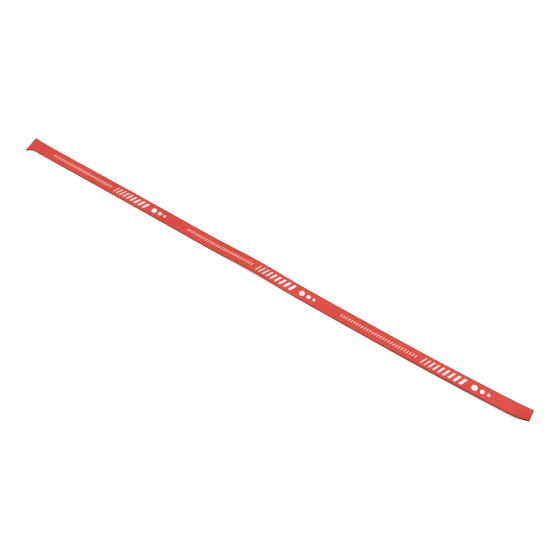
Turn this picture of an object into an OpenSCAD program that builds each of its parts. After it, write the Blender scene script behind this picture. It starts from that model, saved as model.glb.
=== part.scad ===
// Edge tape for a table tennis racket: a printed foam strip on its release liner, lying on a flat surface.
// X runs along the strip, Y across it and Z up, in millimetres.
// The origin is in the middle of the footprint, on the surface that the strip lies on.
// Distances along the strip are counted from its left end, where X is lowest.
// Its near edge is the one with the lowest Y.

/* [Strip] */
// Length of the cut strip
tape_length = 500; // [350:10:700]
// Width of the strip
tape_width = 12; // [9:0.5:16]

/* [Layers] */
// Thickness of the silicone-coated release liner
liner_thickness = 0.12; // [0.06:0.01:0.3]
// Clearance between the coated liner and the adhesive, so that the two part cleanly
release_clearance = 0.02; // [0.01:0.01:0.1]
// Thickness of the pressure-sensitive adhesive
adhesive_thickness = 0.08; // [0.04:0.01:0.3]
// Thickness of the foam core
foam_thickness = 0.75; // [0.4:0.05:2]
// Thickness of the laminating glue between foam and film
laminate_thickness = 0.04; // [0.02:0.01:0.1]
// Thickness of the coloured face film
film_thickness = 0.16; // [0.08:0.01:0.4]
// Thickness of the printed ink
ink_thickness = 0.03; // [0.01:0.01:0.08]

/* [Right end] */
// Height that the right end lifts off the surface
right_lift = 2.9; // [0:0.1:10]
// Length of strip that lifts with the right end
right_lift_reach = 115; // [40:5:150]
// Further curl of the right end's tip
tip_curl = 0.2; // [0:0.1:2]
// Further curl of the right end's near corner
tip_corner_curl = 3.8; // [0:0.1:5]
// Length of strip that curls at the tip
tip_reach = 13; // [5:1:20]

/* [Left end] */
// Height that the left end lifts off the surface
left_lift = 1.6; // [0.5:0.1:5]
// Length of strip that lifts with the left end
left_lift_reach = 50; // [20:5:100]
// Further curl of the left end's far corner
far_corner_curl = 1.3; // [0:0.1:3]
// Height at which the left end's near corner stays
corner_height = 0; // [0:0.1:0.5]
// Distance that the cut has drawn the liner outwards at the near corner
corner_flare = 3.9; // [0:0.1:5]
// Distance by which the film stays behind the liner there, because the cut is slanted
corner_slant = 1.4; // [0:0.1:2]
// Length of strip over which the two corners curl, droop and flare
corner_reach = 9; // [5:1:15]

/* [Middle] */
// Height of the slight arch in the middle of the strip
arch_height = 2.1; // [0:0.1:5]
// Distance of the arch's crest from the left end
arch_from_left = 253; // [150:1:300]
// Length from the arch's crest to each of its feet
arch_reach = 52; // [30:1:80]
// Sideways drift of the strip's middle towards its near edge
drift_middle = 0.45; // [-2:0.05:2]
// Sideways S-bend, towards the near edge on the right half and the far edge on the left
drift_bend = 1.7; // [-3:0.1:3]

/* [Printed marks] */
// Distance from the left end to the first mark
print_start = 27.5; // [15:0.5:40]
// Distance from one repeat of the marks to the next
print_pitch = 155; // [150:1:200]
// Bare strip kept at the right end
print_end_margin = 20; // [10:1:40]
// Space between the ticks, the bars and the balls of one repeat
group_space = 6; // [2:0.5:8]
// Lean of the ticks and bars: how far one end of a mark is ahead of the other, for each unit of height
mark_lean = 0.45; // [0:0.05:0.8]

/* [Ticks] */
// Number of small ticks in a row
tick_count = 29; // [5:1:30]
// Width of a tick
tick_width = 0.6; // [0.4:0.1:1.5]
// Height of a tick across the strip
tick_height = 2.4; // [1:0.1:5]
// Distance from one tick to the next
tick_pitch = 2.4; // [2:0.1:2.6]

/* [Bars] */
// Number of bars, which widen towards the balls
bar_count = 9; // [3:1:11]
// Width of the narrowest bar
bar_narrow = 0.8; // [0.4:0.1:2]
// Width of the widest bar
bar_wide = 2.4; // [1:0.1:5]
// Height of a bar across the strip
bar_height = 6; // [3:0.1:7]
// Space between two bars
bar_space = 2.6; // [0.8:0.1:4]

/* [Balls] */
// Number of balls, which shrink to the right
ball_count = 3; // [1:1:4]
// Diameter of the largest ball
ball_large = 4.8; // [3:0.1:7.5]
// Diameter of the smallest ball
ball_small = 2.4; // [1:0.1:3]
// Space between two balls
ball_space = 2.2; // [0.5:0.1:4]

/* [Hidden] */

// Height of each layer's underside above the underside of the liner
adhesive_base = liner_thickness + release_clearance;
foam_base = adhesive_base + adhesive_thickness;
laminate_base = foam_base + foam_thickness;
film_base = laminate_base + laminate_thickness;
film_top = film_base + film_thickness;
// The ink stands this far off the film, so that its own facets stay clear of the film's
ink_clearance = 0.01;
ink_base = film_top + ink_clearance;

// Longest step between two cross-sections at the two ends, where an end lifts, in the arch and elsewhere
end_step = 2;
lift_step = 12;
arch_step = 4;
flat_step = 75;
// Longest step along and across a mark, which keeps its facets close to the film's
mark_step = 1.5;
mark_rise = 3.2;

// Lengths of the groups of marks, and of one whole repeat
ticks_length = (tick_count - 1) * tick_pitch + tick_width;
bars_length = bar_count * (bar_narrow + bar_wide) / 2 + (bar_count - 1) * bar_space;
balls_length = ball_count * (ball_large + (ball_count > 1 ? ball_small : ball_large)) / 2
    + (ball_count - 1) * ball_space;
repeat_length = ticks_length + bars_length + balls_length + 2 * group_space;
printable_length = tape_length - print_start - print_end_margin;
repeat_count = max(0, floor((printable_length - repeat_length) / print_pitch) + 1);
// Number of slices that a ball's outline is cut into
ball_slices = 12;

// Places where the strip begins or stops to bend
bend_limits = [
    corner_reach, left_lift_reach, arch_from_left - arch_reach, arch_from_left + arch_reach,
    tape_length - right_lift_reach, tape_length - tip_reach, tape_length
];
function longest_step(s) =
    s < corner_reach || s >= tape_length - tip_reach ? end_step
    : s >= arch_from_left - arch_reach && s < arch_from_left + arch_reach ? arch_step
    : s < left_lift_reach || s >= tape_length - right_lift_reach ? lift_step
    : flat_step;

// Distances of the cross-sections from the left end, from s on: each stretch between two limits of a
// bend is cut into equal steps
function stations_from(s) =
    s >= tape_length ? [tape_length]
    : let (
        limit = min([for (b = bend_limits) if (b > s + 0.01) b]),
        step_count = ceil((limit - s) / longest_step(s) - 0.01)
    )
    concat([s], stations_from(step_count > 1 ? s + (limit - s) / step_count : limit));
stations = stations_from(0);

// 0 where share is 0 or less, rising ever faster to 1 where share is 1
function rise(share) = pow(max(share, 0), 2);
function left_rise(s, reach) = rise((reach - s) / reach);
function right_rise(s, reach) = rise((s - tape_length + reach) / reach);

// The way the strip lies: its sideways drift and the height of its two edges
function drift(s) =
    let (u = 2 * s / tape_length - 1)
    -(drift_middle + drift_bend * u) * (1 - u * u);
function arch(s) =
    arch_height * (1 + cos(180 * min(abs(s - arch_from_left) / arch_reach, 1))) / 2;
function height(s) =
    left_lift * left_rise(s, left_lift_reach)
    + arch(s)
    + right_lift * right_rise(s, right_lift_reach)
    + tip_curl * right_rise(s, tip_reach);
function far_edge(s) = [
    drift(s) + tape_width / 2,
    height(s) + far_corner_curl * left_rise(s, corner_reach)
];
function near_edge(s) = [
    drift(s) - tape_width / 2 - corner_flare * left_rise(s, corner_reach),
    height(s)
        - (left_lift - corner_height) * left_rise(s, corner_reach)
        + tip_corner_curl * right_rise(s, tip_reach)
];

// The two edges at the cross-sections, between which they run straight
far_y = [for (s = stations) [s, far_edge(s).x]];
far_z = [for (s = stations) [s, far_edge(s).y]];
near_y = [for (s = stations) [s, near_edge(s).x]];
near_z = [for (s = stations) [s, near_edge(s).y]];
// Distance by which the film's near edge stays behind the liner's
slant = [for (s = stations) [s, corner_slant * left_rise(s, corner_reach)]];

// Middle of the footprint's width, which is put at Y = 0
middle_y = (max([for (point = far_y) point[1]]) + min([for (point = near_y) point[1]])) / 2;

// Point of the strip at distance s from the left end, v from the centreline towards the far edge,
// and height h above the liner's underside, square to the strip
function place(s, v, h) =
    let (
        near = [lookup(s, near_y), lookup(s, near_z)],
        far = [lookup(s, far_y), lookup(s, far_z)],
        across = (far - near) / norm(far - near),
        share = v / tape_width + 0.5,
        inset = lookup(s, slant) * (1 - share) * h / film_top,
        point = near + (far - near) * share + across * inset
    )
    [s - tape_length / 2, point.x - across.y * h - middle_y, point.y + across.x * h];

// Solid through a row of rings. The first half of a ring's points is its underside, the other half its
// top in the opposite order. Every face is cut into triangles in the same way on top as underneath.
module loft(rings) {
    size = len(rings[0]);
    last = size * (len(rings) - 1);
    sides = [
        for (first = [0 : size : last - size], i = [0 : size - 1])
            let (a = first + i, b = first + (i + 1) % size)
            each i < size / 2
                ? [[a, b, b + size], [a, b + size, a + size]]
                : [[a, b, a + size], [b, b + size, a + size]]
    ];
    ends = [
        for (i = [0 : size / 2 - 2])
            let (a = i, b = i + 1, c = size - 2 - i, d = size - 1 - i)
            each [[d, c, b], [d, b, a], [last + a, last + b, last + c], [last + a, last + c, last + d]]
    ];
    polyhedron(points = [for (ring = rings) each ring], faces = concat(sides, ends));
}

// One layer of the strip, over its whole length and width
module layer(base, thickness) {
    loft([
        for (s = stations) [
            place(s, -tape_width / 2, base), place(s, tape_width / 2, base),
            place(s, tape_width / 2, base + thickness), place(s, -tape_width / 2, base + thickness)
        ]
    ]);
}

// Slanted mark of ink that starts at distance start
module slanted_mark(start, width, height) {
    rows = ceil(height / mark_rise);
    columns = ceil(width / mark_step);
    loft([
        for (row = [0 : rows])
            let (v = height * (row / rows - 0.5), left = start + mark_lean * v)
            concat(
                [for (i = [columns : -1 : 0]) place(left + width * i / columns, v, ink_base)],
                [for (i = [0 : columns]) place(left + width * i / columns, v, ink_base + ink_thickness)]
            )
    ]);
}

// Round mark of ink that starts at distance start, with small flats at its two ends
module round_mark(start, diameter) {
    flat = 180 / ball_slices / 2;
    loft([
        for (i = [0 : ball_slices])
            let (
                angle = flat + (180 - 2 * flat) * i / ball_slices,
                s = start + diameter / 2 * (1 - cos(angle)),
                v = diameter / 2 * sin(angle)
            )
            [
                place(s, -v, ink_base), place(s, v, ink_base),
                place(s, v, ink_base + ink_thickness), place(s, -v, ink_base + ink_thickness)
            ]
    ]);
}

// Size of item i of a row that goes evenly from the first size to the last
function graded(first, last, count, i) = count > 1 ? first + (last - first) * i / (count - 1) : first;
// Distance from the start of such a row to the start of its item i
function graded_start(first, last, count, space, i) =
    i * space + i * (first + graded(first, last, count, max(i - 1, 0))) / 2;

module ticks(start) {
    for (i = [0 : tick_count - 1])
        slanted_mark(start + i * tick_pitch, tick_width, tick_height);
}

module bars(start) {
    for (i = [0 : bar_count - 1])
        slanted_mark(
            start + graded_start(bar_narrow, bar_wide, bar_count, bar_space, i),
            graded(bar_narrow, bar_wide, bar_count, i),
            bar_height
        );
}

module balls(start) {
    for (i = [0 : ball_count - 1])
        round_mark(
            start + graded_start(ball_large, ball_small, ball_count, ball_space, i),
            graded(ball_large, ball_small, ball_count, i)
        );
}

module release_liner() {
    color("#f4efe1") layer(0, liner_thickness);
}

module adhesive_layer() {
    color("#94513f") layer(adhesive_base, adhesive_thickness);
}

module foam_core() {
    color("#9c302a") layer(foam_base, foam_thickness);
}

module laminating_glue() {
    color("#8c302b") layer(laminate_base, laminate_thickness);
}

module face_film() {
    color("#dc4c41") layer(film_base, film_thickness);
}

module printed_marks() {
    color("#fbf3f1")
        for (i = [0 : 1 : repeat_count - 1])
            let (start = print_start + i * print_pitch) {
                ticks(start);
                bars(start + ticks_length + group_space);
                balls(start + ticks_length + bars_length + 2 * group_space);
            }
}

release_liner();
adhesive_layer();
foam_core();
laminating_glue();
face_film();
printed_marks();
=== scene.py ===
"""Edge tape for a table tennis racket: a printed foam strip on its release liner, on a pale floor.

All sizes are in metres. Distances along the strip are counted from its left end, where X is lowest,
and its near edge is the one with the lowest Y.
"""
import math

import bpy
import numpy as np
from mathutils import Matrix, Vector


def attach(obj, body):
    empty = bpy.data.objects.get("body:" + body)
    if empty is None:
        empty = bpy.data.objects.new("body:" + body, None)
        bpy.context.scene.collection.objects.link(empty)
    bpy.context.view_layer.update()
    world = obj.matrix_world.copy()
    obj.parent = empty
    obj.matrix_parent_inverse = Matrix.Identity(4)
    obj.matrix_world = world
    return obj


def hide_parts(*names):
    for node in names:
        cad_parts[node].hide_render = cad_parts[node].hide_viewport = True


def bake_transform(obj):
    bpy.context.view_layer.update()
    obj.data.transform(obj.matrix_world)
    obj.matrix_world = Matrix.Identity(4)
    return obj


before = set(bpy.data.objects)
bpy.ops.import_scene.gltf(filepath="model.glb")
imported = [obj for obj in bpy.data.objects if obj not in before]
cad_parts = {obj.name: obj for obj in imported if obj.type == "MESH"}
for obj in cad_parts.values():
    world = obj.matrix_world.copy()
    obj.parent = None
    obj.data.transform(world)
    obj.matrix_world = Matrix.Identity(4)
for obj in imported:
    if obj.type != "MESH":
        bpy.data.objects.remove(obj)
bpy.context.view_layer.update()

bl_info = {
    "name": "Racket Edge Tape",
    "version": (1, 0, 0),
    "blender": (4, 5, 0),
    "location": "3D View > Sidebar > Edge Tape",
    "description": "Dresses the layers of a printed racket edge tape and lights it on a pale floor",
    "category": "Mesh",
}

MM = 0.001
STRIP_PLACE = "strip_place"  # where a point is on the flat strip, which patterns follow
RAIL_STEP = 0.5 * MM
LONG_EDGES = ("near_bottom", "far_bottom", "near_top", "far_top")  # of the liner and of the film
FOAM_ROWS = 7  # rows of faces on the foam's cut sides
SHARPEST_SMOOTH_CORNER = math.radians(50)
SENSOR_WIDTH = 36  # in millimetres, as Blender counts it
NEAREST_VIEW = 10 * MM
# Painted shade: the film darkens at its edges, for the shade on its rounded edges and cut sides, and more
# widely along the near edge towards the right end, where the lifted strip's near side is in shade
PAINTED_EDGE_SHADE = 0.42  # of the film's colour, at its very edges
NEAR_SHADE_WIDENS = (0.6, 0.9)  # shares of the length between which the near edge's dark line widens
NEAR_SHADE_WIDTHS = (0.5, 1.25)  # its widths before and after that, as shares of the other edges' line
FLOOR_SIZE = 4.0
FLOOR_MARGIN = 0.3  # light by which the lit floor is past white


def linear(hex_colour):
    """Linear red, green and blue of an sRGB colour written as #rrggbb."""
    shares = [int(hex_colour[i:i + 2], 16) / 255 for i in (1, 3, 5)]
    return tuple(c / 12.92 if c <= 0.04045 else ((c + 0.055) / 1.055) ** 2.4 for c in shares)


# ---------------------------------------------------------------------------------------------------
# What a user can change


def length(name, description, default):
    """Property for a length, whose default is in millimetres."""
    return bpy.props.FloatProperty(
        name=name, description=description, default=default * MM, min=0, unit="LENGTH", precision=5
    )


def colour(name, description, default):
    """Property for a colour, whose default is written as #rrggbb."""
    return bpy.props.FloatVectorProperty(
        name=name, description=description, default=linear(default), min=0, max=1, subtype="COLOR"
    )


class EdgeTapeSizes(bpy.types.PropertyGroup):
    step: length("Step", "Distance between two cross-sections of a layer", 0.5)
    foam_step: length("Foam step", "Distance between two cross-sections of the foam", 0.25)
    roll_depth: length("Edge roll", "How far slitting has pinched the layers down at the edges", 0.1)
    roll_width: length("Roll width", "Width of the pinched band along each edge", 0.5)
    film_rounding: length("Film rounding", "Radius of the film's slit upper edges", 0.05)
    foam_waist: length("Foam waist", "How far the foam's cut sides draw in at half height", 0.07)
    pore_size: length("Pore size", "Size of the cells that the cut has opened in the foam's sides", 0.45)
    pore_depth: length("Pore depth", "Depth of the opened cells", 0.06)
    # Width of the painted shade round the film's edges, which stands for the shade on its rounded edges
    # and cut sides
    edge_shade_width: length("Painted edge shade", "Width of the darker line that slitting leaves round the film", 1.25)
    fold_length: length("Fold length", "Length of tape that bends where it is peeled", 22)
    fold_lead: length("Fold lead", "How far ahead of the tape's end the bend starts, to soften it", 10)


class EdgeTapePrint(bpy.types.PropertyGroup):
    ink_thickness: length("Ink thickness", "Height of the ink above the film", 0.04)
    start: length("Start", "Distance from the left end to the first mark", 27.5)
    pitch: length("Pitch", "Distance from one repeat of the marks to the next", 155)
    repeats: bpy.props.IntProperty(
        name="Repeats", description="Number of repeats of the marks", default=3, min=1
    )
    lean: bpy.props.FloatProperty(
        name="Lean",
        description="How far one end of a tick or bar is ahead of the other, for each unit of height",
        default=0.45,
    )
    group_space: length("Group space", "Space between the ticks, the bars and the balls", 6)
    tick_count: bpy.props.IntProperty(
        name="Ticks", description="Number of small ticks in a repeat", default=29, min=1
    )
    tick_width: length("Tick width", "Width of a tick", 0.6)
    tick_height: length("Tick height", "Height of a tick across the strip", 2.4)
    tick_space: length("Tick space", "Space between two ticks", 1.8)
    bar_count: bpy.props.IntProperty(
        name="Bars", description="Number of bars in a repeat", default=9, min=1
    )
    bar_narrow: length("Narrowest bar", "Width of the first bar", 0.8)
    bar_wide: length("Widest bar", "Width of the last bar", 2.4)
    bar_height: length("Bar height", "Height of a bar across the strip", 6)
    bar_space: length("Bar space", "Space between two bars", 2.6)
    ball_count: bpy.props.IntProperty(
        name="Balls", description="Number of balls in a repeat", default=3, min=1
    )
    ball_large: length("Largest ball", "Diameter of the first ball", 4.8)
    ball_small: length("Smallest ball", "Diameter of the last ball", 2.4)
    ball_space: length("Ball space", "Space between two balls", 2.2)


class EdgeTapeColours(bpy.types.PropertyGroup):
    film: colour("Film", "Colour of the face film", "#dc4c41")
    foam: colour("Foam", "Colour of the foam core", "#9c302a")
    glue: colour("Glue", "Colour of the laminating glue", "#8c302b")
    adhesive: colour("Adhesive", "Colour of the tacky adhesive on the foam", "#94513f")
    liner: colour("Liner", "Colour of the release liner", "#f4efe1")
    ink: colour("Ink", "Colour of the printed marks", "#fbf3f1")
    floor: colour("Floor", "Colour of the floor", "#e6e6e6")


class EdgeTapeStage(bpy.types.PropertyGroup):
    camera_place: bpy.props.FloatVectorProperty(
        name="Camera",
        description="Place of the camera",
        default=(0.19925, -0.2695, 0.51146),
        unit="LENGTH",
    )
    camera_turn: bpy.props.FloatVectorProperty(
        name="Camera turn",
        description="The way the camera is turned",
        default=tuple(math.radians(a) for a in (32.186, -0.414, 32.949)),
        subtype="EULER",
    )
    lens: bpy.props.FloatProperty(
        name="Lens", description="Focal length of the camera, in millimetres", default=46.49, min=1
    )
    lamp_level: bpy.props.FloatProperty(
        name="Lamp", description="Share of the light that the big soft lamp gives", default=0.74, min=0
    )
    lamp_distance: length("Lamp distance", "Distance of the lamp from the middle of the strip", 4000)
    lamp_size: length("Lamp size", "Side of the square lamp", 3600)
    lamp_turn: bpy.props.FloatVectorProperty(
        name="Lamp turn",
        description="The way the lamp is turned",
        default=tuple(math.radians(a) for a in (38, 0, 118)),
        subtype="EULER",
    )
    room_level: bpy.props.FloatProperty(
        name="Room", description="Share of the light that the pale room gives", default=0.4, min=0
    )


# ---------------------------------------------------------------------------------------------------
# Small helpers


def fill(tree, node, inputs):
    """Sets inputs of a node, by name or number, to a value, or links them to a socket or to the first
    output of another node."""
    for name, value in inputs.items():
        if isinstance(value, bpy.types.Node):
            value = value.outputs[0]
        if isinstance(value, bpy.types.NodeSocket):
            tree.links.new(value, node.inputs[name])
        else:
            node.inputs[name].default_value = value


def add(tree, kind, inputs=None, **settings):
    """Adds a node with its settings, and fills its inputs."""
    node = tree.nodes.new(kind)
    for name, value in settings.items():
        setattr(node, name, value)
    fill(tree, node, inputs or {})
    return node


def new_tree(name, sockets):
    """Geometry Nodes tree with these inputs. Gives the tree, its inputs and its one output."""
    tree = bpy.data.node_groups.new(name, "GeometryNodeTree")
    for label, kind in sockets.items():
        tree.interface.new_socket(label, in_out="INPUT", socket_type="NodeSocket" + kind)
    tree.interface.new_socket("Geometry", in_out="OUTPUT", socket_type="NodeSocketGeometry")
    given = tree.nodes.new("NodeGroupInput").outputs
    result = tree.nodes.new("NodeGroupOutput").inputs[0]
    return tree, given, result


def grow(name, mesh, tree, values):
    """Piece that a tree makes from a mesh, with these values for its inputs, as a plain mesh."""
    piece = bpy.data.objects.new(name, mesh)
    bpy.context.scene.collection.objects.link(piece)
    modifier = piece.modifiers.new(tree.name, "NODES")
    modifier.node_group = tree
    for socket in tree.interface.items_tree:
        if socket.in_out == "INPUT" and socket.name in values:
            modifier[socket.identifier] = values[socket.name]
    evaluated = piece.evaluated_get(bpy.context.evaluated_depsgraph_get())
    grown = bpy.data.meshes.new_from_object(evaluated)
    piece.modifiers.remove(modifier)
    piece.data = grown
    bpy.data.meshes.remove(mesh)
    grown.name = name
    grown.set_sharp_from_angle(angle=SHARPEST_SMOOTH_CORNER)
    return piece


# ---------------------------------------------------------------------------------------------------
# How the strip lies, taken from the construction model


def corners(node):
    """A layer's corners at each of its cross-sections, from the left end.

    Each row holds the near and far corner of the underside, then the near and far corner of the top.
    """
    points = np.unique(np.round([v.co[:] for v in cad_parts[node].data.vertices], 6), axis=0)
    rows = []
    for x in np.unique(points[:, 0]):
        section = points[points[:, 0] == x]
        section = section[np.argsort(section[:, 1])]
        near, far = (side[np.argsort(side[:, 2])] for side in np.split(section, 2))
        rows.append([near[0], far[0], near[-1], far[-1]])
    return np.array(rows)


LINER = corners("release_liner")
LEFT_END, RIGHT_END = LINER[0, 0, 0], LINER[-1, 0, 0]
TAPE_LENGTH = RIGHT_END - LEFT_END
# Width and heights are measured in the middle, because the cut has flared the left end
MIDDLE = len(LINER) // 2
TAPE_WIDTH = np.linalg.norm(LINER[MIDDLE, 1] - LINER[MIDDLE, 0])


def heights(node):
    """Heights of a layer's underside and top above the liner's underside."""
    section = corners(node)[MIDDLE]
    return tuple(float(np.linalg.norm(section[i] - LINER[MIDDLE, 0])) for i in (0, 2))


FOAM_BASE, FOAM_TOP = heights("foam_core")
FILM_TOP = heights("face_film")[1]


def eased(places, values, wanted):
    """Values at the wanted places, on a curve without corners that goes through the given values and
    never overshoots them."""
    gaps = np.diff(places)
    slopes = np.diff(values) / gaps
    before, after = slopes[:-1], slopes[1:]
    same_way = before * after > 0
    tangents = np.concatenate([slopes[:1], np.zeros(len(gaps) - 1), slopes[-1:]])
    tangents[1:-1][same_way] = 2 * (before * after)[same_way] / (before + after)[same_way]
    i = np.clip(np.searchsorted(places, wanted, side="right") - 1, 0, len(gaps) - 1)
    t = (wanted - places[i]) / gaps[i]
    return (
        (1 + 2 * t) * (1 - t) ** 2 * values[i]
        + t * (1 - t) ** 2 * gaps[i] * tangents[i]
        + t ** 2 * (3 - 2 * t) * values[i + 1]
        + t ** 2 * (t - 1) * gaps[i] * tangents[i + 1]
    )


def make_rails():
    """Points at equal steps along the strip, which keep the place of the strip's four long edges."""
    x = np.linspace(LEFT_END, RIGHT_END, round(TAPE_LENGTH / RAIL_STEP) + 1)
    mesh = bpy.data.meshes.new("rails")
    mesh.vertices.add(len(x))
    mesh.vertices.foreach_set("co", np.stack([x, 0 * x, 0 * x], axis=1).ravel())
    film = corners("face_film")
    for name, edge in zip(LONG_EDGES, (LINER[:, 0], LINER[:, 1], film[:, 2], film[:, 3])):
        places = np.stack([x] + [eased(edge[:, 0], edge[:, axis], x) for axis in (1, 2)], axis=1)
        mesh.attributes.new(name, "FLOAT_VECTOR", "POINT").data.foreach_set("vector", places.ravel())
    rails = bpy.data.objects.new("rails", mesh)
    bpy.context.scene.collection.objects.link(rails)
    return rails


def strip_values():
    """What every tree for the strip takes, besides its geometry."""
    return {
        "Rails": bpy.data.objects.get("rails") or make_rails(),
        "Rail step": RAIL_STEP,
        "Width": TAPE_WIDTH,
        "Thickness": FILM_TOP,
    }


# ---------------------------------------------------------------------------------------------------
# Geometry Nodes trees

STRIP_SOCKETS = {  # which every tree for the strip has
    "Geometry": "Geometry",
    "Rails": "Object",
    "Rail step": "Float",
    "Width": "Float",
    "Thickness": "Float",
}


def lay_tree():
    """Tree that lays flat geometry on the strip: X is the distance from the left end, Y the place
    across the strip, from its centreline, and Z the height above the liner's underside."""
    tree, given, result = new_tree("Lay on the strip", STRIP_SOCKETS)

    def mixed(share, first, second):
        # Inputs 4 and 5 and output 1 of a Mix node are its vectors
        values = {0: share, 4: first, 5: second}
        return add(tree, "ShaderNodeMix", values, data_type="VECTOR", clamp_factor=False).outputs[1]

    rails = add(tree, "GeometryNodeObjectInfo", {"Object": given["Rails"]}).outputs["Geometry"]
    flat = add(tree, "ShaderNodeSeparateXYZ", {0: add(tree, "GeometryNodeInputPosition")}).outputs
    place = add(tree, "ShaderNodeMath", {0: flat["X"], 1: given["Rail step"]}, operation="DIVIDE")
    before = add(tree, "ShaderNodeMath", {0: place}, operation="FLOOR")
    after = add(tree, "ShaderNodeMath", {0: before, 1: 1.0}, operation="ADD")
    past = add(tree, "ShaderNodeMath", {0: place, 1: before}, operation="SUBTRACT")

    edges = []
    for name in LONG_EDGES:
        edge = add(tree, "GeometryNodeInputNamedAttribute", {"Name": name}, data_type="FLOAT_VECTOR")
        ends = [
            add(
                tree,
                "GeometryNodeSampleIndex",
                {"Geometry": rails, "Value": edge, "Index": index},
                data_type="FLOAT_VECTOR",
                clamp=True,
            )
            for index in (before, after)
        ]
        edges.append(mixed(past, *ends))

    from_middle = add(tree, "ShaderNodeMath", {0: flat["Y"], 1: given["Width"]}, operation="DIVIDE")
    from_near = add(tree, "ShaderNodeMath", {0: from_middle, 1: 0.5}, operation="ADD")
    height = add(tree, "ShaderNodeMath", {0: flat["Z"], 1: given["Thickness"]}, operation="DIVIDE")
    laid = mixed(height, mixed(from_near, *edges[:2]), mixed(from_near, *edges[2:]))
    moved = add(tree, "GeometryNodeSetPosition", {"Geometry": given["Geometry"], "Position": laid})
    tree.links.new(moved.outputs[0], result)
    return tree


def finish_tree(tree, flat, given, result):
    """Ends a tree: keeps each point's place on the strip for the materials, lays the flat geometry on
    the strip and gives it its material."""
    kept = add(
        tree,
        "GeometryNodeStoreNamedAttribute",
        {"Geometry": flat, "Name": STRIP_PLACE, "Value": add(tree, "GeometryNodeInputPosition")},
        data_type="FLOAT_VECTOR",
    )
    inputs = {name: given[name] for name in STRIP_SOCKETS}
    inputs["Geometry"] = kept
    laying_tree = bpy.data.node_groups.get("Lay on the strip") or lay_tree()
    laid = add(tree, "GeometryNodeGroup", inputs, node_tree=laying_tree)
    smooth = add(tree, "GeometryNodeSetShadeSmooth", {"Geometry": laid})
    real = add(tree, "GeometryNodeRealizeInstances", {"Geometry": smooth})
    painted = add(tree, "GeometryNodeSetMaterial", {"Geometry": real, "Material": given["Material"]})
    tree.links.new(painted.outputs[0], result)


def layer_tree():
    """Tree that draws a cross-section along the whole strip and opens pores in its sides."""
    tree, given, result = new_tree(
        "Layer of the strip",
        {
            **STRIP_SOCKETS,
            "Length": "Float",
            "Step": "Float",
            "Pore size": "Float",
            "Pore depth": "Float",
            "Material": "Material",
        },
    )
    end = add(tree, "ShaderNodeCombineXYZ", {"X": given["Length"]})
    line = add(tree, "GeometryNodeCurvePrimitiveLine", {"End": end})
    steps = add(tree, "ShaderNodeMath", {0: given["Length"], 1: given["Step"]}, operation="DIVIDE")
    rounded = add(tree, "ShaderNodeMath", {0: steps}, operation="ROUND")
    count = add(tree, "ShaderNodeMath", {0: rounded, 1: 1.0}, operation="ADD")
    path = add(tree, "GeometryNodeResampleCurve", {"Curve": line, "Count": count})
    section = add(tree, "GeometryNodeMeshToCurve", {0: given["Geometry"]})
    # A half turn, because the sweep takes a section's X to the near side and its Y down
    turned = add(tree, "GeometryNodeTransform", {"Geometry": section, "Rotation": (0, 0, math.pi)})
    swept = add(
        tree, "GeometryNodeCurveToMesh", {"Curve": path, "Profile Curve": turned, "Fill Caps": True}
    )

    density = add(tree, "ShaderNodeMath", {0: 1.0, 1: given["Pore size"]}, operation="DIVIDE")
    cells = add(
        tree,
        "ShaderNodeTexNoise",
        {"Vector": add(tree, "GeometryNodeInputPosition"), "Scale": density, "Detail": 2.0},
    )
    # Only the peaks of the noise open a cell
    depth = add(
        tree,
        "ShaderNodeMapRange",
        {"Value": cells, "From Min": 0.5, "From Max": 0.7, "To Min": 0.0, "To Max": given["Pore depth"]},
    )
    facing = add(tree, "ShaderNodeSeparateXYZ", {0: add(tree, "GeometryNodeInputNormal")})
    outwards = add(tree, "ShaderNodeMath", {0: facing.outputs["Y"], 1: -1.0}, operation="MULTIPLY")
    inwards = add(tree, "ShaderNodeMath", {0: outwards, 1: depth}, operation="MULTIPLY")
    offset = add(tree, "ShaderNodeCombineXYZ", {"Y": inwards})
    porous = add(tree, "GeometryNodeSetPosition", {"Geometry": swept, "Offset": offset})
    finish_tree(tree, porous, given, result)
    return tree


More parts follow.
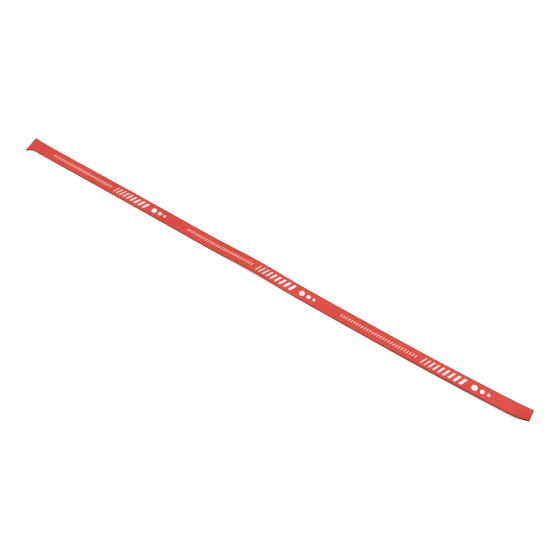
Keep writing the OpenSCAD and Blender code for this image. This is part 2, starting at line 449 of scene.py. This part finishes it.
def graded_row_tree():
    """Tree that sets unit marks in a row along X, whose widths go evenly from the first to the last."""
    tree, given, result = new_tree(
        "Graded row",
        {
            "Mark": "Geometry",
            "Count": "Int",
            "Start": "Float",
            "First": "Float",
            "Last": "Float",
            "Height": "Float",
            "Space": "Float",
        },
    )
    index = add(tree, "GeometryNodeInputIndex")
    steps = add(tree, "ShaderNodeMath", {0: given["Count"], 1: 1.0}, operation="SUBTRACT")
    growth = add(tree, "ShaderNodeMath", {0: given["Last"], 1: given["First"]}, operation="SUBTRACT")
    more = add(tree, "ShaderNodeMath", {0: growth, 1: steps}, operation="DIVIDE")
    width = add(tree, "ShaderNodeMath", {0: index, 1: more, 2: given["First"]}, operation="MULTIPLY_ADD")
    # A mark's middle lies past half a first width, and past a space and the mean width for each mark
    # before it
    twice_mean = add(tree, "ShaderNodeMath", {0: given["First"], 1: width}, operation="ADD")
    mean = add(tree, "ShaderNodeMath", {0: twice_mean, 1: 0.5}, operation="MULTIPLY")
    pitch = add(tree, "ShaderNodeMath", {0: mean, 1: given["Space"]}, operation="ADD")
    half_first = add(
        tree, "ShaderNodeMath", {0: given["First"], 1: 0.5, 2: given["Start"]}, operation="MULTIPLY_ADD"
    )
    middle = add(tree, "ShaderNodeMath", {0: index, 1: pitch, 2: half_first}, operation="MULTIPLY_ADD")
    points = add(
        tree,
        "GeometryNodePoints",
        {"Count": given["Count"], "Position": add(tree, "ShaderNodeCombineXYZ", {"X": middle})},
    )
    # A mark without a height of its own is as high as it is wide. Inputs 2 and 3 of a Mix node are its
    # numbers.
    has_height = add(tree, "ShaderNodeMath", {0: given["Height"], 1: 0.0}, operation="GREATER_THAN")
    height = add(tree, "ShaderNodeMix", {0: has_height, 2: width, 3: given["Height"]})
    size = add(tree, "ShaderNodeCombineXYZ", {"X": width, "Y": height, "Z": 1.0})
    row = add(
        tree, "GeometryNodeInstanceOnPoints", {"Points": points, "Instance": given["Mark"], "Scale": size}
    )
    tree.links.new(row.outputs[0], result)
    return tree


def marks_tree():
    """Tree that prints a repeated row of ticks, bars and balls on the strip."""
    tree, given, result = new_tree(
        "Printed marks",
        {
            **STRIP_SOCKETS,
            "Base": "Float",
            "Ink": "Float",
            "Start": "Float",
            "Pitch": "Float",
            "Repeats": "Int",
            "Lean": "Float",
            "Group space": "Float",
            "Tick count": "Int",
            "Tick width": "Float",
            "Tick height": "Float",
            "Tick space": "Float",
            "Bar count": "Int",
            "First bar": "Float",
            "Last bar": "Float",
            "Bar height": "Float",
            "Bar space": "Float",
            "Ball count": "Int",
            "First ball": "Float",
            "Last ball": "Float",
            "Ball space": "Float",
            "Material": "Material",
        },
    )
    # Thin closed plates, one unit wide and high, with enough faces to follow the film. The finer one
    # is for the discs.
    size = add(tree, "ShaderNodeCombineXYZ", {"X": 1.0, "Y": 1.0, "Z": given["Ink"]})
    plate, fine_plate = (
        add(tree, "GeometryNodeMeshCube", {"Size": size, "Vertices X": columns, "Vertices Y": rows})
        for columns, rows in ((3, 5), (9, 9))
    )
    # Squeezing each row and column of the square plate makes it a disc: x times sqrt(1 - 2 y y)
    at = add(tree, "ShaderNodeSeparateXYZ", {0: add(tree, "GeometryNodeInputPosition")}).outputs
    squeezed = {}
    for axis, other in (("X", "Y"), ("Y", "X")):
        square = add(tree, "ShaderNodeMath", {0: at[other], 1: at[other]}, operation="MULTIPLY")
        left = add(tree, "ShaderNodeMath", {0: square, 1: -2.0, 2: 1.0}, operation="MULTIPLY_ADD")
        root = add(tree, "ShaderNodeMath", {0: left}, operation="SQRT")
        squeezed[axis] = add(tree, "ShaderNodeMath", {0: at[axis], 1: root}, operation="MULTIPLY")
    round_place = add(tree, "ShaderNodeCombineXYZ", {**squeezed, "Z": at["Z"]})
    disc = add(tree, "GeometryNodeSetPosition", {"Geometry": fine_plate, "Position": round_place})

    row_tree = graded_row_tree()
    rows = {}
    start = None
    for name, mark, first, last in (
        ("Tick", plate, "Tick width", "Tick width"),
        ("Bar", plate, "First bar", "Last bar"),
        ("Ball", disc, "First ball", "Last ball"),
    ):
        count, space = given[f"{name} count"], given[f"{name} space"]
        inputs = {
            "Mark": mark,
            "Count": count,
            "First": given[first],
            "Last": given[last],
            "Space": space,
        }
        if name != "Ball":
            inputs["Height"] = given[f"{name} height"]
        if start:
            inputs["Start"] = start
        rows[name] = add(tree, "GeometryNodeGroup", inputs, node_tree=row_tree)
        # The next row starts a group space past this one's last mark
        ends = add(tree, "ShaderNodeMath", {0: given[first], 1: given[last]}, operation="ADD")
        mean = add(tree, "ShaderNodeMath", {0: ends, 1: 0.5}, operation="MULTIPLY")
        pitch = add(tree, "ShaderNodeMath", {0: mean, 1: space}, operation="ADD")
        own_length = add(tree, "ShaderNodeMath", {0: count, 1: pitch}, operation="MULTIPLY")
        spare = add(tree, "ShaderNodeMath", {0: given["Group space"], 1: space}, operation="SUBTRACT")
        step = add(tree, "ShaderNodeMath", {0: own_length, 1: spare}, operation="ADD")
        start = add(tree, "ShaderNodeMath", {0: start, 1: step}, operation="ADD") if start else step

    upright = add(tree, "GeometryNodeJoinGeometry")
    for name in ("Bar", "Tick"):
        tree.links.new(rows[name].outputs[0], upright.inputs[0])
    loose = add(tree, "GeometryNodeRealizeInstances", {"Geometry": upright})
    lean = add(tree, "ShaderNodeMath", {0: at["Y"], 1: given["Lean"]}, operation="MULTIPLY")
    leaning = add(
        tree,
        "GeometryNodeSetPosition",
        {"Geometry": loose, "Offset": add(tree, "ShaderNodeCombineXYZ", {"X": lean})},
    )
    repeat = add(tree, "GeometryNodeJoinGeometry")
    for part in (rows["Ball"], leaning):
        tree.links.new(part.outputs[0], repeat.inputs[0])

    index = add(tree, "GeometryNodeInputIndex")
    along = add(
        tree, "ShaderNodeMath", {0: index, 1: given["Pitch"], 2: given["Start"]}, operation="MULTIPLY_ADD"
    )
    half_ink = add(
        tree, "ShaderNodeMath", {0: given["Ink"], 1: 0.5, 2: given["Base"]}, operation="MULTIPLY_ADD"
    )
    starts = add(
        tree,
        "GeometryNodePoints",
        {
            "Count": given["Repeats"],
            "Position": add(tree, "ShaderNodeCombineXYZ", {"X": along, "Z": half_ink}),
        },
    )
    repeats = add(tree, "GeometryNodeInstanceOnPoints", {"Points": starts, "Instance": repeat})
    real = add(tree, "GeometryNodeRealizeInstances", {"Geometry": repeats})
    finish_tree(tree, real.outputs[0], given, result)
    return tree


# ---------------------------------------------------------------------------------------------------
# Materials


def new_material(name):
    """Material with a Principled shader. Gives it, its tree, its shader and the place on the strip."""
    material = bpy.data.materials.new(name)
    material.use_nodes = True
    tree = material.node_tree
    place = add(tree, "ShaderNodeAttribute", attribute_name=STRIP_PLACE).outputs["Vector"]
    return material, tree, tree.nodes["Principled BSDF"], place


def tint(rgb, factor):
    """Colour for a colour socket, made lighter or darker by a factor."""
    return tuple(min(c * factor, 1) for c in rgb) + (1,)


def varied(tree, share, rgb, darkest, lightest):
    """Socket whose colour goes from a darkest to a lightest tint as a share goes from 0 to 1."""
    # Inputs 6 and 7 and output 2 of a Mix node are its colours
    tints = {6: tint(rgb, darkest), 7: tint(rgb, lightest)}
    return add(tree, "ShaderNodeMix", {0: share, **tints}, data_type="RGBA").outputs[2]


def film_material(colours, edge_shade_width):
    """Cast polyurethane film: an even, soft colour with a fine leather grain that breaks up its gloss."""
    material, tree, shader, place = new_material("cast polyurethane film")
    # Real grain is about 0.2 mm, drawn at 0.6 mm so that it shows
    grain = add(tree, "ShaderNodeTexNoise", {"Vector": place, "Scale": 1 / (0.6 * MM), "Detail": 3.0})
    cloud = add(tree, "ShaderNodeTexNoise", {"Vector": place, "Scale": 1 / (35 * MM), "Detail": 2.0})
    uneven = add(tree, "ShaderNodeMath", {0: grain, 1: cloud}, operation="MULTIPLY")
    share = add(tree, "ShaderNodeMapRange", {"Value": uneven, "From Min": 0.12, "From Max": 0.42})
    red = varied(tree, share, colours.film, 0.93, 1.06)
    # Painted shade: a thin darker line round the film stands for the shade on its rounded edges and cut
    # sides. Along the near edge it widens towards the right end, where the lifted strip's near side is in
    # shade
    at = add(tree, "ShaderNodeSeparateXYZ", {0: place}).outputs
    near_width = add(
        tree,
        "ShaderNodeMapRange",
        {
            "Value": at["X"],
            "From Min": NEAR_SHADE_WIDENS[0] * TAPE_LENGTH,
            "From Max": NEAR_SHADE_WIDENS[1] * TAPE_LENGTH,
            "To Min": NEAR_SHADE_WIDTHS[0] * edge_shade_width,
            "To Max": NEAR_SHADE_WIDTHS[1] * edge_shade_width,
        },
    )
    # Distances from the four edges, as shares of the line's width there
    shares = []
    for axis, way, outermost, width in (
        ("X", 1.0, 0.0, edge_shade_width),
        ("X", -1.0, TAPE_LENGTH, edge_shade_width),
        ("Y", 1.0, TAPE_WIDTH / 2, near_width),
        ("Y", -1.0, TAPE_WIDTH / 2, edge_shade_width),
    ):
        inside = add(
            tree, "ShaderNodeMath", {0: at[axis], 1: way, 2: outermost}, operation="MULTIPLY_ADD"
        )
        shares.append(add(tree, "ShaderNodeMath", {0: inside, 1: width}, operation="DIVIDE"))
    nearest = shares.pop()
    for share in shares:
        nearest = add(tree, "ShaderNodeMath", {0: nearest, 1: share}, operation="MINIMUM")
    darkening = add(
        tree,
        "ShaderNodeMapRange",
        {"Value": nearest, "To Min": 1.0, "To Max": 0.0},
        interpolation_type="SMOOTHSTEP",
    )
    edged = add(
        tree,
        "ShaderNodeMix",
        {0: darkening, 6: red, 7: tint(colours.film, PAINTED_EDGE_SHADE)},
        data_type="RGBA",
    )
    roughness = add(
        tree,
        "ShaderNodeMapRange",
        {"Value": grain, "From Min": 0.3, "From Max": 0.7, "To Min": 0.42, "To Max": 0.56},
    )
    bump = add(tree, "ShaderNodeBump", {"Strength": 0.35, "Distance": 0.05 * MM, "Height": grain})
    finish = {"Roughness": roughness, "IOR": 1.48, "Specular IOR Level": 0.15}
    fill(tree, shader, {"Base Color": edged.outputs[2], "Normal": bump, **finish})
    return material


def foam_material(colours):
    """Cross-linked polyethylene foam: dull, with painted shade darkening the open cells of its cut sides.
    """
    material, tree, shader, place = new_material("cross-linked polyethylene foam")
    # Real cells are about 0.2 mm, drawn at 0.4 mm so that they show
    cells = add(tree, "ShaderNodeTexVoronoi", {"Vector": place, "Scale": 1 / (0.4 * MM)})
    wall = add(tree, "ShaderNodeMapRange", {"Value": cells, "From Min": 0.15, "From Max": 0.55})
    # Painted shade: the colour darkens towards the middle of each open cell, where the bump sinks it
    red = varied(tree, wall, colours.foam, 0.6, 1.15)
    bump = add(tree, "ShaderNodeBump", {"Strength": 0.6, "Distance": 0.1 * MM, "Height": wall})
    finish = {"Roughness": 0.9, "IOR": 1.5, "Specular IOR Level": 0.25}
    fill(tree, shader, {"Base Color": red, "Normal": bump, **finish})
    return material


def adhesive_material(colours):
    """Acrylic pressure-sensitive adhesive: wet gloss over a rippled coat, amber where it is thick."""
    material, tree, shader, place = new_material("acrylic pressure-sensitive adhesive")
    ripple = add(tree, "ShaderNodeTexNoise", {"Vector": place, "Scale": 1 / (1.2 * MM), "Detail": 2.0})
    amber = varied(tree, ripple, colours.adhesive, 0.85, 1.1)
    bump = add(tree, "ShaderNodeBump", {"Strength": 0.4, "Distance": 0.04 * MM, "Height": ripple})
    fill(tree, shader, {"Base Color": amber, "Normal": bump, "Roughness": 0.16, "IOR": 1.47})
    return material


def glue_material(colours):
    """Dried polyurethane glue: a thin satin line between the foam and the film."""
    material, tree, shader, place = new_material("dried polyurethane glue")
    beads = add(tree, "ShaderNodeTexNoise", {"Vector": place, "Scale": 1 / (0.8 * MM), "Detail": 1.0})
    red = varied(tree, beads, colours.glue, 0.85, 1.1)
    fill(tree, shader, {"Base Color": red, "Roughness": 0.4, "IOR": 1.5})
    return material


def liner_material(colours):
    """Glassine paper with a silicone coat: off-white and smooth, cloudy with pressed fibres."""
    material, tree, shader, place = new_material("silicone-coated glassine paper")
    fibres = add(
        tree,
        "ShaderNodeTexNoise",
        {"Vector": place, "Scale": 1 / (1.5 * MM), "Detail": 5.0, "Roughness": 0.65},
    )
    off_white = varied(tree, fibres, colours.liner, 0.9, 1.03)
    bump = add(tree, "ShaderNodeBump", {"Strength": 0.2, "Distance": 0.02 * MM, "Height": fibres})
    fill(tree, shader, {"Base Color": off_white, "Normal": bump, "Roughness": 0.32, "IOR": 1.43})
    return material


def ink_material(colours):
    """Screen-printed white ink: opaque and matte, uneven where it has soaked into the grain."""
    material, tree, shader, place = new_material("screen-printed ink")
    soak = add(tree, "ShaderNodeTexNoise", {"Vector": place, "Scale": 1 / (0.5 * MM), "Detail": 2.0})
    share = add(tree, "ShaderNodeMapRange", {"Value": soak, "From Min": 0.3, "From Max": 0.5})
    white = varied(tree, share, colours.ink, 0.9, 1)
    fill(tree, shader, {"Base Color": white, "Roughness": 0.6, "IOR": 1.5})
    return material


def seen_ray(tree):
    """Node that gives 1 for what the camera sees, also mirrored or through glass, and otherwise 0."""
    rays = add(tree, "ShaderNodeLightPath").outputs
    shown = add(
        tree, "ShaderNodeMath", {0: rays["Is Camera Ray"], 1: rays["Is Glossy Ray"]}, operation="MAXIMUM"
    )
    return add(tree, "ShaderNodeMath", {0: shown, 1: rays["Is Transmission Ray"]}, operation="MAXIMUM")


def floor_material(colours):
    """Pale studio board, which the camera sees as white where nothing shades it."""
    material = bpy.data.materials.new("pale studio board")
    material.use_nodes = True
    tree = material.node_tree
    tree.nodes.clear()
    board = add(tree, "ShaderNodeBsdfDiffuse", {"Color": tint(colours.floor, 1)})
    missing = 1 + FLOOR_MARGIN - colours.floor[0]
    strength = add(tree, "ShaderNodeMath", {0: seen_ray(tree), 1: missing}, operation="MULTIPLY")
    glow = add(tree, "ShaderNodeEmission", {"Strength": strength})
    both = add(tree, "ShaderNodeAddShader", {0: board, 1: glow})
    add(tree, "ShaderNodeOutputMaterial", {"Surface": both})
    return material


# ---------------------------------------------------------------------------------------------------
# Pieces


def cross_section(name, base, top, sizes, rounding=0.0, waist=0.0, rows=1):
    """Closed outline of a layer: X runs across the strip from its centreline, and Y up from the liner.

    What lies on the foam goes down with it where slitting has pinched the strip's edges.
    """
    # Distances from an edge at which the pinch and the rounding need points
    from_edge = {share * sizes.roll_width for share in np.linspace(0, 1, 5)}
    from_edge |= {share * rounding for share in (0.3, 1.0)}
    from_edge = sorted(from_edge)

    def pinched(distance, height):
        foam_share = np.clip((height - FOAM_BASE) / (FOAM_TOP - FOAM_BASE), 0, 1)
        return height - sizes.roll_depth * foam_share * (1 - distance / sizes.roll_width) ** 2

    def rounded(distance):
        inside = max(1 - distance / rounding, 0) if rounding else 0
        return top - rounding * (1 - math.sqrt(1 - inside ** 2))

    half = TAPE_WIDTH / 2
    side_top = rounded(0)
    under = [(half - d, pinched(d, base)) for d in reversed(from_edge)]
    side = []
    for row in range(1, rows):
        share = row / rows
        drawn_in = waist * math.sin(math.pi * share)
        side.append((half - drawn_in, pinched(0, base + share * (side_top - base))))
    over = [(half - d, pinched(d, rounded(d))) for d in from_edge]
    far_half = under + side + over
    near_half = [(-x, y) for x, y in reversed(far_half)]
    points = [(x, y, 0) for x, y in far_half + near_half]
    mesh = bpy.data.meshes.new(name)
    mesh.from_pydata(points, [(i, (i + 1) % len(points)) for i in range(len(points))], [])
    return mesh


def make_layer(node, material, step, pores=(1.0, 0.0), **shape):
    """Piece for one layer of the strip, which stands for the construction model's node of that name."""
    sizes = bpy.context.scene.edge_tape_sizes
    tree = bpy.data.node_groups.get("Layer of the strip") or layer_tree()
    values = {
        **strip_values(),
        "Length": TAPE_LENGTH,
        "Step": step,
        "Pore size": pores[0],
        "Pore depth": pores[1],
        "Material": material,
    }
    piece = grow(node + "_dressed", cross_section(node, *heights(node), sizes, **shape), tree, values)
    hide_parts(node)
    return piece


def bend_with_peel(piece):
    """Bakes a piece's placing into its own mesh."""
    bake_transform(piece)


# ---------------------------------------------------------------------------------------------------
# Operators


class MakeStage(bpy.types.Operator):
    """Sets up the camera, the pale floor, the big soft lamp and the bright room round them"""

    bl_idname = "edge_tape.make_stage"
    bl_label = "Stage"

    def execute(self, context):
        stage = context.scene.edge_tape_stage
        camera = bpy.data.objects.new("camera", bpy.data.cameras.new("camera"))
        camera.data.lens = stage.lens
        camera.data.sensor_width = SENSOR_WIDTH
        camera.data.clip_start = NEAREST_VIEW
        camera.location = stage.camera_place
        camera.rotation_euler = stage.camera_turn
        context.scene.collection.objects.link(camera)
        context.scene.camera = camera

        half = FLOOR_SIZE / 2
        floor_corners = [(-half, -half, 0), (half, -half, 0), (half, half, 0), (-half, half, 0)]
        mesh = bpy.data.meshes.new("floor")
        mesh.from_pydata(floor_corners, [], [(0, 1, 2, 3)])
        mesh.materials.append(floor_material(context.scene.edge_tape_colours))
        floor = bpy.data.objects.new("floor", mesh)
        context.scene.collection.objects.link(floor)

        lamp = bpy.data.objects.new("soft_lamp", bpy.data.lights.new("soft_lamp", "AREA"))
        lamp.rotation_euler = stage.lamp_turn
        lamp.location = stage.lamp_turn.to_matrix() @ Vector((0, 0, stage.lamp_distance))
        lamp.data.size = stage.lamp_size
        # At this energy the lamp alone lights a level white face up to white
        full_energy = (math.pi * stage.lamp_distance) ** 2 / math.cos(stage.lamp_turn[0])
        lamp.data.energy = stage.lamp_level * full_energy
        lamp.visible_camera = False
        context.scene.collection.objects.link(lamp)

        world = bpy.data.worlds.new("bright room")
        world.use_nodes = True
        tree = world.node_tree
        # The room lights the strip at its own level, and the camera sees it as white
        levels = {"To Min": stage.room_level, "To Max": 1.0}
        level = add(tree, "ShaderNodeMapRange", {"Value": seen_ray(tree), **levels})
        fill(tree, tree.nodes["Background"], {"Color": (1, 1, 1, 1), "Strength": level})
        context.scene.world = world
        context.scene.view_settings.view_transform = "Standard"
        return {"FINISHED"}


class MakeReleaseLiner(bpy.types.Operator):
    """Makes the silicone-coated paper that the tape lies on until it is used"""

    bl_idname = "edge_tape.make_release_liner"
    bl_label = "Release liner"

    def execute(self, context):
        sizes = context.scene.edge_tape_sizes
        piece = make_layer("release_liner", liner_material(context.scene.edge_tape_colours), sizes.step)
        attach(piece, "liner")
        return {"FINISHED"}


class MakeAdhesives(bpy.types.Operator):
    """Makes the tacky adhesive under the foam and the dry glue between the foam and the film"""

    bl_idname = "edge_tape.make_adhesives"
    bl_label = "Adhesive and glue"

    def execute(self, context):
        step = context.scene.edge_tape_sizes.step
        colours = context.scene.edge_tape_colours
        for node, slot, material in (
            ("adhesive_layer", "adhesive", adhesive_material(colours)),
            ("laminating_glue", "laminating_glue", glue_material(colours)),
        ):
            piece = make_layer(node, material, step)
            bend_with_peel(piece)
        return {"FINISHED"}


class MakeFoamCore(bpy.types.Operator):
    """Makes the foam core, whose cut sides draw in a little and show their open cells"""

    bl_idname = "edge_tape.make_foam_core"
    bl_label = "Foam core"

    def execute(self, context):
        sizes = context.scene.edge_tape_sizes
        piece = make_layer(
            "foam_core",
            foam_material(context.scene.edge_tape_colours),
            sizes.foam_step,
            pores=(sizes.pore_size, sizes.pore_depth),
            waist=sizes.foam_waist,
            rows=FOAM_ROWS,
        )
        bend_with_peel(piece)
        return {"FINISHED"}


class MakeFaceFilm(bpy.types.Operator):
    """Makes the coloured film with its rounded slit edges"""

    bl_idname = "edge_tape.make_face_film"
    bl_label = "Face film"

    def execute(self, context):
        sizes = context.scene.edge_tape_sizes
        piece = make_layer(
            "face_film",
            film_material(context.scene.edge_tape_colours, sizes.edge_shade_width),
            sizes.step,
            rounding=sizes.film_rounding,
        )
        bend_with_peel(piece)
        return {"FINISHED"}


class MakePrintedMarks(bpy.types.Operator):
    """Prints the repeated ticks, bars and balls on the film"""

    bl_idname = "edge_tape.make_printed_marks"
    bl_label = "Printed marks"

    def execute(self, context):
        marks = context.scene.edge_tape_print
        values = {
            **strip_values(),
            "Base": FILM_TOP,
            "Ink": marks.ink_thickness,
            "Start": marks.start,
            "Pitch": marks.pitch,
            "Repeats": marks.repeats,
            "Lean": marks.lean,
            "Group space": marks.group_space,
            "Tick count": marks.tick_count,
            "Tick width": marks.tick_width,
            "Tick height": marks.tick_height,
            "Tick space": marks.tick_space,
            "Bar count": marks.bar_count,
            "First bar": marks.bar_narrow,
            "Last bar": marks.bar_wide,
            "Bar height": marks.bar_height,
            "Bar space": marks.bar_space,
            "Ball count": marks.ball_count,
            "First ball": marks.ball_large,
            "Last ball": marks.ball_small,
            "Ball space": marks.ball_space,
            "Material": ink_material(context.scene.edge_tape_colours),
        }
        piece = grow("ink_marks", bpy.data.meshes.new("ink_marks"), marks_tree(), values)
        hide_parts("printed_marks")
        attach(piece, "tape")
        return {"FINISHED"}


OPERATORS = (
    MakeStage,
    MakeReleaseLiner,
    MakeAdhesives,
    MakeFoamCore,
    MakeFaceFilm,
    MakePrintedMarks,
)


class EdgeTapePanel(bpy.types.Panel):
    """Lists the edge tape's operators, sizes and colours"""

    bl_idname = "VIEW3D_PT_edge_tape"
    bl_label = "Edge Tape"
    bl_space_type = "VIEW_3D"
    bl_region_type = "UI"
    bl_category = "Edge Tape"

    def draw(self, context):
        for operator in OPERATORS:
            self.layout.operator(operator.bl_idname)
        for name in GROUPS:
            group = getattr(context.scene, name)
            box = self.layout.box()
            for key in group.bl_rna.properties.keys():
                if key not in {"rna_type", "name"}:
                    box.prop(group, key)


GROUPS = {
    "edge_tape_sizes": EdgeTapeSizes,
    "edge_tape_print": EdgeTapePrint,
    "edge_tape_colours": EdgeTapeColours,
    "edge_tape_stage": EdgeTapeStage,
}


def register():
    for part in (*GROUPS.values(), *OPERATORS, EdgeTapePanel):
        bpy.utils.register_class(part)
    for name, group in GROUPS.items():
        setattr(bpy.types.Scene, name, bpy.props.PointerProperty(type=group))


def unregister():
    for name in GROUPS:
        delattr(bpy.types.Scene, name)
    for part in reversed((*GROUPS.values(), *OPERATORS, EdgeTapePanel)):
        bpy.utils.unregister_class(part)


def main():
    register()
    bpy.ops.edge_tape.make_stage()
    bpy.ops.edge_tape.make_release_liner()
    bpy.ops.edge_tape.make_adhesives()
    bpy.ops.edge_tape.make_foam_core()
    bpy.ops.edge_tape.make_face_film()
    bpy.ops.edge_tape.make_printed_marks()
    # The rails only told the trees how the strip lies
    bpy.data.objects.remove(bpy.data.objects["rails"])


if __name__ == "__main__":
    main()
